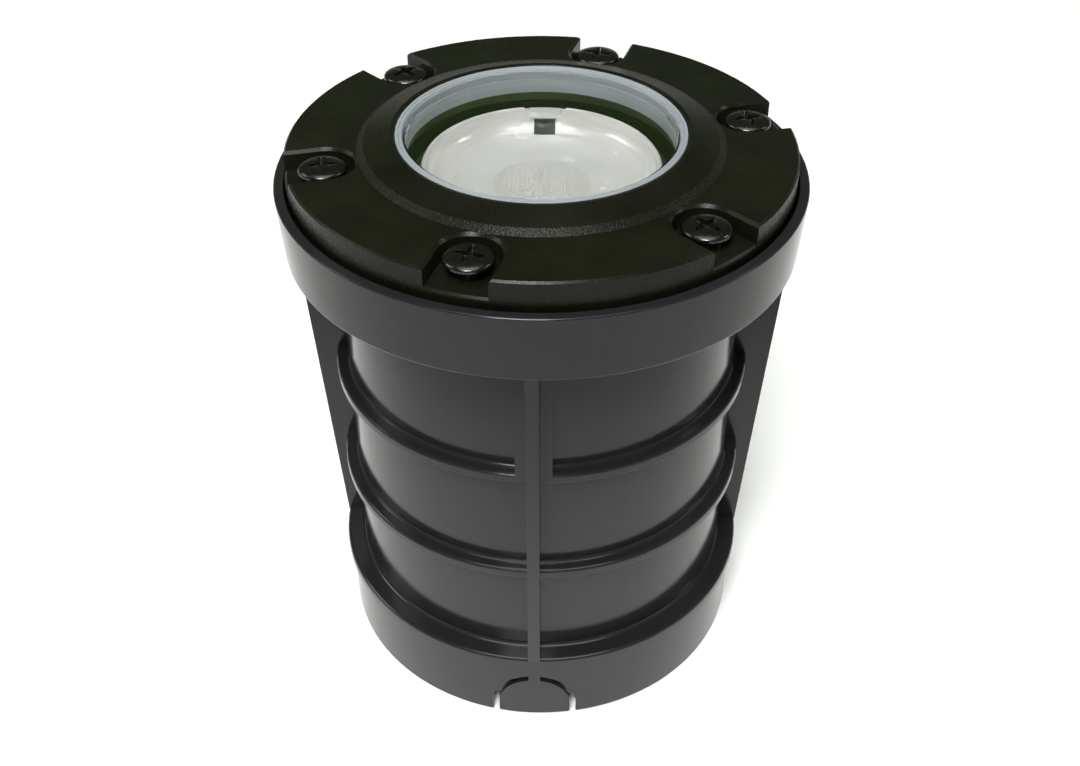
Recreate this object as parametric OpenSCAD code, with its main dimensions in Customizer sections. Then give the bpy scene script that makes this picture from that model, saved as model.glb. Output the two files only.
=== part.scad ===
// In-ground well light: a moulded housing, a bolted cast cover with a bonded glass lens,
// and a reflector lamp on a swivel and tilt gimbal. Millimetres, Z up, origin at the
// middle of the foot rim, with the cable knock-out facing -Y.

/* [Housing] */
// Wall thickness of the barrel and the skirt
wall = 2.6; // [2.2:0.1:3]
// Height of the top face of the base flange
flange_z = 19.4; // [17:0.1:23]
// How far the skirt below the base flange stands out from the barrel
skirt_step = 3.2; // [2.6:0.1:4.2]
// How far the lip of the base flange stands out from the skirt
flange_lip = 1.2; // [0.6:0.05:1.6]
// How far the two ring flanges stand out from the barrel
ring_w = 2.8; // [2:0.1:4]
// Thickness of a ring flange at its outer face
ring_t = 2.6; // [2:0.1:4]
// Height of the top face of the lower ring flange
ring_low_z = 45.2; // [40:0.1:56]
// Height of the top face of the upper ring flange
ring_high_z = 71.8; // [64:0.1:82]
// Height of the underside of the floor that closes the barrel
floor_z = 30; // [28:0.1:36]
// Thickness of the floor
floor_t = 3; // [2:0.1:5]

/* [Collar] */
// How far the rim of the collar stands out from the barrel
collar_reach = 11.9; // [11:0.1:14]
// How much the collar narrows from its rim to its underside
collar_draft = 1; // [0.5:0.1:2]
// Height of the rim of the collar
rim_z = 116.4; // [113:0.1:124]
// Height of the collar band, from its underside to its rim
collar_h = 14.5; // [13:0.1:18]
// Wall thickness of the collar band
collar_wall = 2; // [1.6:0.1:2.6]
// Thickness of the deck that joins the collar to the barrel
deck_t = 3; // [2:0.1:3.4]
// How far the seat of the cover lies below the rim
seat_drop = 3.1; // [2:0.1:4]

/* [Fins] */
// Number of upright fins round the barrel
fin_count = 4; // [2:1:8]
// Thickness of a fin
fin_t = 2.6; // [2:0.1:4]
// How far the top of a fin stays inside the lower edge of the collar
fin_inset = 0.3; // [0:0.1:2]
// Width of the flat pad behind each fin, between the upper ring and the collar
pad_w = 7.5; // [6:0.1:10]

/* [Knock-out] */
// Radius of the middle of the groove round the knock-out panel
knock_r = 8.6; // [7.6:0.1:9.4]
// Height of the centre of the round top of the knock-out
knock_z = 3.3; // [2:0.1:4]
// Width of the groove
groove_w = 1.4; // [1:0.1:2]
// Depth of the groove round the top of the panel
groove_depth = 1.7; // [1:0.1:2]
// Depth of the groove across the webs at the sides of the panel
web_depth = 0.9; // [0.4:0.1:1.2]
// Height of the open slots at the foot of the panel
slot_h = 5.4; // [3:0.1:6]
// Height of the top of the side webs
web_top = 9.3; // [7:0.1:10]
// How far each slot flares to both sides at the foot
slot_flare = 0.6; // [0.4:0.1:1.6]

/* [Cover] */
// Gap between the cover and the inside of the collar rim
cover_gap = 0.6; // [0.4:0.1:1.2]
// Height of the flat outer part of the cover above the collar rim
plateau_h = 6; // [5:0.1:8]
// Height of the raised middle of the cover above its flat part
centre_h = 2.75; // [2.4:0.05:4]
// Width of the flat between the notches and the foot of the raised middle
centre_land = 0.5; // [0.2:0.1:1.2]
// Width of the bevel round the raised middle
bevel_w = 1.4; // [0.8:0.1:2.4]
// Height of the bevel as a share of the raised height
bevel_rise_share = 0.4; // [0.2:0.02:0.8]
// Size of the bevel on the outer edge of the cover
edge_bevel = 0.4; // [0.2:0.1:1.2]
// Length of the spigot that centres the cover in the housing
spigot_h = 6; // [5:0.1:7]
// Wall thickness of the spigot
spigot_t = 3.2; // [3:0.1:3.6]
// Radius of the section of the cover seal
seal_wire_r = 1.15; // [0.9:0.05:1.3]

/* [Cover screws] */
// Number of cover screws
screw_count = 6; // [3:1:8]
// How far the screw circle lies outside the barrel
screw_offset = 1.7; // [1.4:0.1:2.2]
// Angle of the first screw from +X
screw_angle = 15; // [10:1:20]
// Radius of the shank of a cover screw
shank_r = 2.4; // [2:0.1:2.5]
// Width of the seat of the thick neck round the hole in the cover
neck_seat = 0.5; // [0.2:0.05:0.8]
// Radius of the head of a cover screw
head_r = 4.9; // [4.4:0.05:5.3]
// Thickness of the head of a cover screw
head_t = 1.6; // [1.2:0.1:2.2]
// Gap between the head of a cover screw and the side of its notch
notch_gap = 1.25; // [0.8:0.05:1.6]
// Depth of the notch below the flat of the cover
notch_depth = 4; // [3:0.1:4.6]
// Wall thickness of a threaded insert round the shank
insert_wall = 0.8; // [0.6:0.1:1.1]
// Length of a threaded insert
insert_h = 7.6; // [6:0.1:8]

/* [Lens] */
// How far the glass lens reaches past the lamp
lens_margin = 3.3; // [2.8:0.1:3.8]
// Thickness of the glass lens
lens_t = 5; // [4:0.1:5.4]
// How far the top of the glass lies below the top of the cover
lens_drop = 0.7; // [0.3:0.1:1.2]
// Width of the neck of the lens gasket, seen from above
gasket_w = 1.5; // [1:0.1:1.8]
// Width of the land outside the gasket that takes the screws of the clamp ring
gasket_land = 4.05; // [3.8:0.05:4.6]
// Height of the foot of the lens gasket
gasket_foot_h = 4.1; // [3:0.1:4.4]
// Width of the ledge that carries the glass
gasket_ledge_w = 0.6; // [0.4:0.1:0.9]
// Height of the part of the gasket below the glass
gasket_under = 3; // [2:0.1:3.4]
// Thickness of the ring that clamps the lens gasket
retainer_t = 2.2; // [1.6:0.1:2.6]
// Number of small screws that hold the clamp ring
retainer_screw_count = 6; // [3:1:6]

/* [Gimbal] */
// Height of the tilt axis below the collar rim
pivot_drop = 12; // [11.4:0.1:12.6]
// Radial clearance of the swivel spigot in the fixed ring
swivel_fit = 0.08; // [0.04:0.01:0.1]
// Thickness of the fixed ring that carries the swivel
bracket_t = 2.5; // [2:0.1:3]
// Width of the fixed ring outside the flange of the swivel
bracket_land = 6.5; // [6:0.1:8]
// Thickness of the flange of the swivel ring
swivel_t = 2.5; // [2:0.1:3]
// Wall thickness of the spigot of the swivel ring
swivel_wall = 3; // [2.6:0.1:3.4]
// Thickness of an ear of the swivel ring
ear_t = 2.4; // [2:0.1:2.6]
// Radius of the rounded top of an ear
ear_r = 4.5; // [4:0.1:5]
// Wall thickness of the lamp cradle
cradle_t = 1.9; // [1.4:0.1:2.2]
// Height of the lamp cradle
cradle_h = 11.4; // [10:0.1:12]
// Radius of a tilt pivot
pivot_r = 1.95; // [1.6:0.05:2.2]

/* [Lamp] */
// Radius of the front of the lamp
lamp_r = 25; // [24.5:0.1:25.3]
// How far the rim of the lamp lies below the collar rim
lamp_drop = 2.4; // [2:0.1:3.4]
// Length of the lamp from its rim to the end of its base
lamp_len = 43.7; // [40:0.1:46]
// Distance between the two contact pins
pin_pitch = 5.33; // [4:0.01:6.35]
// Radius of a contact pin
pin_r = 0.75; // [0.5:0.05:0.8]
// Length of the contact pins
pin_len = 7.5; // [6:0.1:8]
// Number of cooling fins round the body of the lamp
sink_fins = 18; // [12:1:20]
// Radius of the pebbled window in the middle of the reflector
window_r = 9.4; // [8:0.1:10]

/* [Cable entry] */
// Radius of the cable bore in the gland seal
cable_r = 3.6; // [3:0.1:4]
// Width of the gland seal round the cable
gland_seal_w = 2.4; // [2:0.1:3]
// How far the flats of the gland stand out from its thread
gland_shoulder = 1.9; // [1.6:0.1:2.6]

/* [Hidden] */
$fn = 96;

// Clearances and the one overrun of every cut
over = 1;
seat_gap = 0.3;
body_gap = 0.3;
fit_gap = 0.05;
full_turn = 360;
right_angle = 90;
arc_steps = 5;

// Radii from the lamp outwards: cradle, swivel ring, fixed ring and barrel
cradle_gap = 0.2;
cradle_boss_h = 1.3;
cradle_room = 1;
swivel_flange_w = 2.6;
cradle_in_r = lamp_r + cradle_gap;
cradle_r = cradle_in_r + cradle_t;
cradle_face = cradle_r + cradle_boss_h;
ear_in = cradle_face + body_gap;
ear_out = ear_in + ear_t;
swivel_in_r = cradle_r + cradle_room;
swivel_spigot_r = swivel_in_r + swivel_wall;
swivel_flange_r = swivel_spigot_r + swivel_flange_w;
bracket_in_r = swivel_spigot_r + swivel_fit;
bracket_r = swivel_flange_r + bracket_land;
bore_r = bracket_r + seat_gap;
barrel_r = bore_r + wall;

// Radii of the housing outside its barrel
skirt_r = barrel_r + skirt_step;
skirt_in_r = skirt_r - wall;
flange_r = skirt_r + flange_lip;
ring_r = barrel_r + ring_w;
collar_r = barrel_r + collar_reach;
collar_low_r = collar_r - collar_draft;
rim_in_r = collar_r - collar_wall;
deck_in_r = collar_low_r - collar_wall;

// Heights of the housing
collar_z = rim_z - collar_h;
deck_z = collar_z + deck_t;
seat_z = rim_z - seat_drop;
floor_top = floor_z + floor_t;

// Small radii of the moulding
foot_chamfer = 0.4;
lip_h = 2.2;
edge_r = 0.7;
fillet_r = 0.8;
rim_edge_r = 0.4;

// Insert bosses and the inner posts that carry the bracket ring
boss_wall = 1;
insert_r = shank_r + insert_wall;
boss_r = insert_r + boss_wall;
screw_circle_r = barrel_r + screw_offset;
post_r = 3.4;
post_count = 3;
post_angle = 90;
post_screw_r = 1.5;
post_hole_depth = 9;

// Cover
cover_r = rim_in_r - cover_gap;
cover_z = seat_z + seat_gap;
plateau_z = rim_z + plateau_h;
top_z = plateau_z + centre_h;
bevel_top_z = plateau_z + centre_h * bevel_rise_share;
bore_edge = 0.5;
spigot_r = bore_r - body_gap;
spigot_in_r = spigot_r - spigot_t;
spigot_z = cover_z - spigot_h;
notch_z = plateau_z - notch_depth;
notch_shift = 0.4;
notch_bevel = 0.6;
sill_bevel = 0.4;
notch_r = head_r + notch_gap;
centre_r = screw_circle_r - notch_shift - notch_r - centre_land;
hole_clear = 0.35;
cover_hole_r = shank_r + hole_clear;
neck_r = cover_hole_r + neck_seat;
cover_taper = 0.6;

// Pockets under the rim of the cover
pocket_margin = 1.8;
pocket_roof = 3.6;
pocket_share = 0.42;

// Seal round the spigot of the cover
seal_gap = 0.25;
seal_r = bore_r - seal_gap - seal_wire_r;
seal_z = spigot_z + 0.5 * spigot_h;
groove_clear = 0.1;

// Pan heads with a cross recess, given as shares of the radius and of the height
head_shares = [[0, 0], [0.96, 0], [1, 0.1], [1, 0.3], [0.92, 0.58], [0.74, 0.82], [0.46, 0.96],
    [0, 1]];
cross_share = 1.24;
cross_w_share = 0.22;
cross_floor_share = 0.4;
screw_tip_gap = 1;

// Lens, gasket and clamp ring
lens_r = lamp_r + lens_margin;
lens_top = top_z - lens_drop;
lens_z = lens_top - lens_t;
gasket_r = lens_r + fit_gap + gasket_w;
gasket_foot_r = spigot_in_r - gasket_land;
gasket_z = lens_z - gasket_under;
gasket_in_r = lens_r - gasket_ledge_w;
gasket_lip = 0.1;
lens_edge = 0.4;
retainer_in_r = lens_r + 2 * fit_gap;
retainer_r = spigot_in_r - body_gap;
retainer_screw_r = 1.1;
retainer_head_r = 2.1;
retainer_head_t = 1.4;
retainer_screw_len = 5;
retainer_circle_r = spigot_in_r - body_gap - retainer_head_r;
retainer_angle = 45;

// Gimbal
pivot_z = rim_z - pivot_drop;
cradle_low_share = 0.4;
cradle_z = pivot_z - cradle_low_share * cradle_h;
cradle_floor_t = 2;
cradle_lip = 2;
cradle_boss_r = 4.2;
tilt_room = 5.5;
swivel_z = pivot_z - tilt_room - swivel_t;
bracket_z = swivel_z - bracket_t;
post_circle_r = (bracket_r + swivel_flange_r) / 2;
bracket_head_r = 2.6;
bracket_head_t = 1.8;
clip_t = 1;
clip_w = 3.2;
clip_groove = 1.4;
clip_gap = 0.3;
clip_open = 9;
spigot_tail = 1;
pin_head_r = 3.6;
pin_head_t = 2;
pin_slot_w = 0.8;
pin_slot_depth = 0.9;

// Lamp
lamp_top = rim_z - lamp_drop;
rim_t = 1.2;
sink_top = lamp_top - rim_t;
sink_step_z = cradle_z + cradle_floor_t;
sink_step_r = cradle_in_r - cradle_lip - 2 * cradle_gap;
base_z = lamp_top - lamp_len;
base_h = 8;
base_r = 9.4;
sink_low_r = 11;
sink_wall = 0.9;
sink_bore_r = lamp_r - sink_wall;
sink_cone_gap = 1;
sink_core_share = 0.85;
sink_floor_t = 1.6;
board_z = sink_step_z + sink_floor_t;
board_t = 1.6;
board_r = 14;
board_hole_r = 0.75;
chip_r = 5;
chip_t = 0.6;
sink_slot_w = 3.2;
socket_w = 18;
socket_d = 9.5;
socket_h = 11;
socket_gap = 0.3;
socket_floor_t = 0.75;
contact_r = 2 * pin_r;
socket_z = base_z - socket_gap - socket_h;

// Reflector: the curve of its bowl falls steeply from the rim and flattens to the window
bowl_depth = 5;
bowl_t = 1.2;
bowl_lip = 1.1;
bowl_steps = 12;
bowl_curve_share = 0.46;
window_shares = [[0, 0], [1, 0], [1, 1], [0.8, 1.25], [0.45, 1.42], [0, 1.5]];
clip_tab_w = 6.9;
clip_tab_in = 3;
tab_window_w = 4.7;
tab_window_h = 2;

// Cable gland, hung under the floor
washer_t = 1;
washer_w = 2.4;
gland_nut_wall = 1.6;
gland_r = cable_r + gland_seal_w + gland_nut_wall;
gland_flats = 2 * (gland_r + gland_shoulder);
locknut_lip = 0.5;
stem_rise = 1;
gland_flange_t = 4;
gland_stem_h = 7;
gland_bore_gap = 0.8;
gland_bore_r = cable_r + gland_bore_gap;
gland_dome_t = 2.2;
gland_seal_h = 6;
gland_seat_z = floor_z - washer_t - gland_flange_t;
gland_stem_z = gland_seat_z - gland_stem_h;
gland_seal_z = gland_stem_z - gland_seal_h / 2;
gland_dome_share = 0.35;
locknut_t = 4;
locknut_flats = gland_flats + 2 * locknut_lip;
hex_sides = 6;

// Terminal block on the floor
term_w = 22;
term_d = 12;
term_h = 9;
term_y = (locknut_flats / 2 / cos(right_angle / 3) + post_circle_r - post_r) / 2;
term_base_h = 2;
term_wire_r = 1.7;
term_pitch = 9;
term_cell_share = 0.9;
term_wire_share = 0.4;
term_screw_share = 0.5;
term_head_share = 1.7;
term_screw_r = 1.5;
term_head_t = 1.4;

// Points of an arc with centre c and radius r, from angle a0 to angle a1
function arc(c, r, a0, a1) =
    [for (i = [0:arc_steps])
        let (a = a0 + (a1 - a0) * i / arc_steps)
        [c[0] + r * cos(a), c[1] + r * sin(a)]];

// Outline of a ring flange that stands out from the barrel to radius r with its top at z
function flange_points(r, z, t) = concat(
    arc([barrel_r + fillet_r, z - t - fillet_r], fillet_r, 180, 90),
    arc([r - edge_r, z - t + edge_r], edge_r, -90, 0),
    arc([r - edge_r, z - edge_r], edge_r, 0, 90),
    arc([barrel_r + fillet_r, z + fillet_r], fillet_r, 270, 180));

// Points of a profile given by shares of a radius and of a height
function share_points(r, h, shares) = [for (p = shares) [p[0] * r, p[1] * h]];

// Copies of the children, n of them at radius r, the first at angle a
module polar(n, r, a = 0) {
    for (i = [0:n - 1])
        rotate([0, 0, a + i * full_turn / n])
            translate([r, 0, 0])
                children();
}

// A plain ring or tube between two heights
module tube(r_out, r_in, z0, z1) {
    translate([0, 0, z0])
        difference() {
            cylinder(r = r_out, h = z1 - z0);
            translate([0, 0, -over])
                cylinder(r = r_in, h = z1 - z0 + 2 * over);
        }
}

// A hexagon prism given by its width across the flats
module hex(flats, h) {
    cylinder(r = flats / 2 / cos(right_angle / 3), h = h, $fn = hex_sides);
}

// Bar lying along a radius, centred on y and resting on z = 0
module radial_bar(r0, r1, w, h) {
    translate([r0, -w / 2, 0])
        cube([r1 - r0, w, h]);
}

// Shell of the housing: skirt, base flange, barrel with its rings, deck and collar band
module housing_shell() {
    rotate_extrude()
        polygon(concat(
            [[skirt_in_r, 0], [skirt_r - foot_chamfer, 0], [skirt_r, foot_chamfer]],
            [[skirt_r, flange_z - lip_h - flange_lip], [flange_r, flange_z - lip_h]],
            arc([flange_r - edge_r, flange_z - edge_r], edge_r, 0, 90),
            arc([barrel_r + fillet_r, flange_z + fillet_r], fillet_r, 270, 180),
            flange_points(ring_r, ring_low_z, ring_t),
            flange_points(ring_r, ring_high_z, ring_t),
            arc([barrel_r + fillet_r, collar_z - fillet_r], fillet_r, 180, 90),
            arc([collar_low_r - edge_r, collar_z + edge_r], edge_r, -90, 0),
            arc([collar_r - rim_edge_r, rim_z - rim_edge_r], rim_edge_r, 0, 90),
            [[rim_in_r, rim_z], [deck_in_r, deck_z], [barrel_r, deck_z]],
            [[barrel_r, seat_z], [bore_r, seat_z], [bore_r, floor_top], [0, floor_top]],
            [[0, floor_z], [bore_r, floor_z], [bore_r, flange_z]],
            [[skirt_in_r, flange_z - wall]]));
}

// One upright fin with the flat pad behind its upper end
module fin() {
    rotate([right_angle, 0, 0])
        translate([0, 0, -fin_t / 2])
            linear_extrude(fin_t)
                polygon([[bore_r + wall / 2, flange_z - edge_r],
                    [flange_r, flange_z - edge_r],
                    [collar_low_r - fin_inset, collar_z],
                    [collar_low_r - fin_inset, collar_z + deck_t / 2],
                    [bore_r + wall / 2, collar_z + deck_t / 2]]);
    intersection() {
        translate([0, 0, ring_high_z - ring_t + edge_r])
            radial_bar(bore_r + wall / 2, ring_r + over, pad_w,
                collar_z + deck_t / 2 - ring_high_z + ring_t - edge_r);
        cylinder(r = ring_r, h = rim_z);
    }
}

// Post inside the barrel that carries the bracket ring
module post() {
    translate([0, 0, floor_z + floor_t / 2])
        difference() {
            union() {
                cylinder(r = post_r, h = bracket_z - floor_z - floor_t / 2);
                radial_bar(0, bore_r - post_circle_r + wall / 2, post_r,
                    bracket_z - floor_z - floor_t / 2);
            }
            translate([0, 0, bracket_z - floor_z - floor_t / 2 - post_hole_depth])
                cylinder(r = post_screw_r + fit_gap, h = post_hole_depth + over);
        }
}

// Boss on the deck that holds a threaded insert
module insert_boss() {
    translate([0, 0, deck_z - deck_t / 2])
        cylinder(r = boss_r, h = seat_z - deck_z + deck_t / 2);
}

// Prism of the knock-out outline, half round over straight sides, with half width r
module knock_prism(r) {
    translate([0, 0, knock_z])
        rotate([right_angle, 0, 0])
            cylinder(r = r, h = skirt_r + over);
    translate([-r, -skirt_r - over, -over])
        cube([2 * r, skirt_r + over, knock_z + over]);
}

// What lies outside radius r in front of the axis, between two heights
module outer_band(r, z0, z1) {
    difference() {
        translate([-skirt_r, -skirt_r - over, z0])
            cube([2 * skirt_r, skirt_r + over, z1 - z0]);
        translate([0, 0, z0 - over])
            cylinder(r = r, h = z1 - z0 + 2 * over);
    }
}

// Groove, side webs and open slots round one knock-out panel
module knock_cut() {
    crown_z = knock_z + knock_r + groove_w;
    intersection() {
        difference() {
            knock_prism(knock_r + groove_w / 2);
            knock_prism(knock_r - groove_w / 2);
            translate([-fin_t / 2, -skirt_r - 2 * over, knock_z])
                cube([fin_t, skirt_r + 2 * over, crown_z]);
        }
        union() {
            outer_band(skirt_in_r - over, -over, slot_h);
            outer_band(skirt_r - web_depth, slot_h - over, web_top);
            outer_band(skirt_r - groove_depth, web_top - fit_gap, crown_z);
        }
    }
}

// Wider foot of the open slots beside a knock-out panel
module slot_feet() {
    for (s = [-1, 1])
        translate([s * knock_r, over - skirt_in_r, 0])
            rotate([right_angle, 0, 0])
                linear_extrude(wall + 2 * over)
                    polygon([[-groove_w / 2 - slot_flare - over, -over],
                        [groove_w / 2 + slot_flare + over, -over],
                        [groove_w / 2, slot_flare], [-groove_w / 2, slot_flare]]);
}

module housing() {
    color("#3b3a3c")
        difference() {
            union() {
                housing_shell();
                polar(fin_count, 0)
                    fin();
                polar(screw_count, screw_circle_r, screw_angle)
                    insert_boss();
                polar(post_count, post_circle_r, post_angle)
                    post();
            }
            polar(screw_count, screw_circle_r, screw_angle)
                translate([0, 0, seat_z - insert_h - seat_gap])
                    cylinder(r = insert_r + fit_gap, h = insert_h + seat_gap + over);
            translate([0, 0, floor_z - over])
                cylinder(r = gland_r + 2 * fit_gap, h = floor_t + 2 * over);
            for (m = [0, 1])
                mirror([0, m, 0]) {
                    knock_cut();
                    slot_feet();
                }
        }
}

module screw_inserts() {
    color("#b8903c")
        polar(screw_count, screw_circle_r, screw_angle)
            tube(insert_r, shank_r + 2 * fit_gap, seat_z - insert_h - seat_gap / 2,
                seat_z - seat_gap / 2);
}

module bracket_ring() {
    color("#2a2b2d")
        difference() {
            tube(bracket_r, bracket_in_r, bracket_z, bracket_z + bracket_t);
            polar(post_count, post_circle_r, post_angle)
                translate([0, 0, bracket_z - over])
                    cylinder(r = post_screw_r + 2 * fit_gap, h = bracket_t + 2 * over);
        }
}

// A pan head screw with its seat at z = 0, its shank downward and a cross recess
module pan_screw(r, len, r_head, t_head) {
    arm = cross_share * r_head;
    slot = cross_w_share * r_head;
    difference() {
        union() {
            translate([0, 0, -len])
                cylinder(r = r, h = len);
            rotate_extrude()
                polygon(share_points(r_head, t_head, head_shares));
        }
        for (a = [0, right_angle])
            rotate([0, 0, a])
                translate([-arm / 2, -slot / 2, t_head * cross_floor_share])
                    cube([arm, slot, t_head]);
    }
}

module bracket_screws() {
    color("#9a9a9c")
        polar(post_count, post_circle_r, post_angle)
            translate([0, 0, bracket_z + bracket_t])
                pan_screw(post_screw_r, bracket_t + post_hole_depth - screw_tip_gap,
                    bracket_head_r, bracket_head_t);
}

module gland_body() {
    stem_top = floor_top + locknut_t + stem_rise;
    color("#2f3032")
        difference() {
            union() {
                translate([0, 0, gland_stem_z])
                    cylinder(r = gland_r, h = stem_top - gland_stem_z);
                translate([0, 0, gland_seat_z])
                    hex(gland_flats, gland_flange_t);
            }
            translate([0, 0, gland_stem_z - over])
                cylinder(r = gland_bore_r, h = stem_top - gland_stem_z + 2 * over);
            translate([0, 0, gland_stem_z - over])
                cylinder(r = gland_r - gland_nut_wall + 2 * fit_gap,
                    h = gland_seal_h / 2 + fit_gap + over);
        }
}

module gland_washer() {
    color("#1c1c1d")
        tube(gland_r + washer_w + fit_gap, gland_r + 2 * fit_gap, floor_z - washer_t, floor_z);
}

module gland_locknut() {
    color("#2f3032")
        translate([0, 0, floor_top])
            difference() {
                hex(locknut_flats, locknut_t);
                translate([0, 0, -over])
                    cylinder(r = gland_r + fit_gap, h = locknut_t + 2 * over);
            }
}

module gland_seal() {
    color("#56585c")
        tube(gland_r - gland_nut_wall, cable_r, gland_seal_z, gland_seal_z + gland_seal_h);
}

module gland_nut() {
    top = gland_seat_z - seat_gap;
    low = gland_seal_z - gland_dome_t;
    dome = gland_dome_share * (top - low);
    color("#2f3032")
        difference() {
            union() {
                translate([0, 0, low + dome])
                    hex(gland_flats, top - low - dome);
                translate([0, 0, low])
                    cylinder(r1 = gland_r - gland_nut_wall + gland_dome_t / 2,
                        r2 = gland_flats / 2, h = dome);
            }
            translate([0, 0, gland_seal_z])
                cylinder(r = gland_r + fit_gap, h = top - low);
            translate([0, 0, low - over])
                cylinder(r = gland_bore_r, h = gland_dome_t + 2 * over);
        }
}

module terminal_block() {
    color("#d9d6cc")
        translate([0, term_y, floor_top])
            difference() {
                union() {
                    translate([-term_w / 2, -term_d / 2, 0])
                        cube([term_w, term_d, term_base_h]);
                    for (s = [-1, 1])
                        translate([(s - term_cell_share) * term_pitch / 2, -term_d / 2, 0])
                            cube([term_pitch * term_cell_share, term_d, term_h]);
                }
                for (s = [-1, 1])
                    translate([s * term_pitch / 2, 0, 0]) {
                        translate([0, term_d / 2 + over, term_h * term_wire_share])
                            rotate([right_angle, 0, 0])
                                cylinder(r = term_wire_r, h = term_d + 2 * over);
                        translate([0, 0, term_h * term_wire_share])
                            cylinder(r = term_screw_r + fit_gap, h = term_h);
                    }
            }
}

module terminal_screws() {
    color("#b9b9bb")
        for (s = [-1, 1])
            translate([s * term_pitch / 2, term_y, floor_top + term_h])
                pan_screw(term_screw_r, term_h * term_screw_share, term_screw_r * term_head_share,
                    term_head_t);
}

// Outline of a notch in the cover, r wide each side, open to the rim of the cover
module notch_prism(r, h) {
    translate([screw_circle_r - notch_shift, 0, 0]) {
        cylinder(r = r, h = h);
        radial_bar(0, collar_r - screw_circle_r, 2 * r, h);
    }
}

// Notch with a small bevel round its upper edge
module notch() {
    mouth = collar_r - screw_circle_r;
    translate([0, 0, notch_z])
        notch_prism(notch_r, plateau_h + centre_h);
    translate([screw_circle_r - notch_shift, 0, plateau_z - notch_bevel]) {
        cylinder(r1 = notch_r, r2 = notch_r + 2 * notch_bevel, h = 2 * notch_bevel);
        rotate([right_angle, 0, right_angle])
            linear_extrude(mouth)
                polygon([[-notch_r, 0], [notch_r, 0],
                    [notch_r + 2 * notch_bevel, 2 * notch_bevel],
                    [-notch_r - 2 * notch_bevel, 2 * notch_bevel]]);
    }
}

// Bevel on the outer edge of a notch's floor
module notch_sill() {
    intersection() {
        translate([0, 0, notch_z - sill_bevel - over])
            notch_prism(notch_r, sill_bevel + 2 * over);
        rotate_extrude()
            polygon([[cover_r - sill_bevel - over, notch_z + over],
                [cover_r + over, notch_z + over],
                [cover_r + over, notch_z - sill_bevel - over]]);
    }
}

// Casting of the cover before its notches and holes: plate, raised middle and spigot
module cover_blank() {
    rotate_extrude()
        polygon([[spigot_r, cover_z], [cover_r - cover_taper - edge_bevel, cover_z],
            [cover_r - cover_taper, cover_z + edge_bevel],
            [cover_r, notch_z - 2 * sill_bevel], [cover_r, plateau_z - edge_bevel], [cover_r - edge_bevel, plateau_z],
            [centre_r, plateau_z], [centre_r - bevel_w, bevel_top_z],
            [gasket_r + fit_gap + 2 * bore_edge, top_z],
            [gasket_r + fit_gap + bore_edge / 2, top_z - bore_edge / 4],
            [gasket_r + fit_gap, top_z - bore_edge],
            [gasket_r + fit_gap, gasket_z + gasket_foot_h + fit_gap],
            [gasket_foot_r + fit_gap, gasket_z + gasket_foot_h + fit_gap],
            [gasket_foot_r + fit_gap, gasket_z], [spigot_in_r, gasket_z],
            [spigot_in_r, spigot_z], [spigot_r - foot_chamfer, spigot_z],
            [spigot_r, spigot_z + foot_chamfer],
            [spigot_r, seal_z - seal_wire_r - groove_clear],
            [seal_r - seal_wire_r - groove_clear, seal_z - seal_wire_r - groove_clear],
            [seal_r - seal_wire_r - groove_clear, seal_z + seal_wire_r + groove_clear],
            [spigot_r, seal_z + seal_wire_r + groove_clear]]);
}

// Lightening pocket under the rim of the cover, between two screws
module cover_pocket() {
    half = pocket_share * full_turn / screw_count / 2;
    rotate([0, 0, full_turn / screw_count / 2 - half])
        rotate_extrude(angle = 2 * half)
            translate([spigot_r + 2 * pocket_margin, cover_z - over])
                square([cover_r - spigot_r - 3 * pocket_margin,
                    plateau_z - pocket_roof - cover_z + over]);
}

module cover() {
    color("#1b1d1a")
        difference() {
            cover_blank();
            polar(screw_count, 0, screw_angle) {
                notch();
                notch_sill();
                cover_pocket();
                translate([screw_circle_r, 0, cover_z - over])
                    cylinder(r = cover_hole_r, h = plateau_z - cover_z);
            }
            polar(retainer_screw_count, retainer_circle_r, retainer_angle)
                translate([0, 0, gasket_z - over])
                    cylinder(r = retainer_screw_r + fit_gap,
                        h = retainer_screw_len - retainer_t + screw_tip_gap + over);
        }
}

// Cover screw standing on its neck, which fills the gap between the head and the cover
module cover_screw() {
    head_z = plateau_z - head_t;
    translate([0, 0, head_z])
        pan_screw(shank_r, head_z - seat_z + insert_h - screw_tip_gap, head_r, head_t);
    tube(neck_r, shank_r - fit_gap, notch_z, head_z);
}

module cover_screws() {
    color("#222321")
        polar(screw_count, screw_circle_r, screw_angle)
            cover_screw();
}

module cover_seal() {
    color("#2b2b2c")
        rotate_extrude()
            translate([seal_r, seal_z])
                circle(r = seal_wire_r);
}

module lens() {
    color("#dfeae6", 0.35)
        rotate_extrude()
            polygon([[0, lens_z], [lens_r - lens_edge, lens_z], [lens_r, lens_z + lens_edge],
                [lens_r, lens_top - lens_edge], [lens_r - lens_edge, lens_top],
                [0, lens_top]]);
}

module lens_gasket() {
    color("#ccd3d4")
        rotate_extrude()
            polygon([[gasket_in_r, gasket_z], [gasket_foot_r, gasket_z],
                [gasket_foot_r, gasket_z + gasket_foot_h], [gasket_r, gasket_z + gasket_foot_h],
                [gasket_r, top_z - 2 * gasket_lip], [gasket_r - gasket_lip, top_z - gasket_lip],
                [lens_r + fit_gap + gasket_lip, top_z - gasket_lip],
                [lens_r + fit_gap, top_z - 2 * gasket_lip], [lens_r + fit_gap, lens_z],
                [gasket_in_r, lens_z]]);
}

module lens_retainer() {
    color("#1f201f")
        difference() {
            tube(retainer_r, retainer_in_r, gasket_z - retainer_t, gasket_z);
            polar(retainer_screw_count, retainer_circle_r, retainer_angle)
                translate([0, 0, gasket_z - retainer_t - over])
                    cylinder(r = retainer_screw_r + 2 * fit_gap, h = retainer_t + 2 * over);
        }
}

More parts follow.
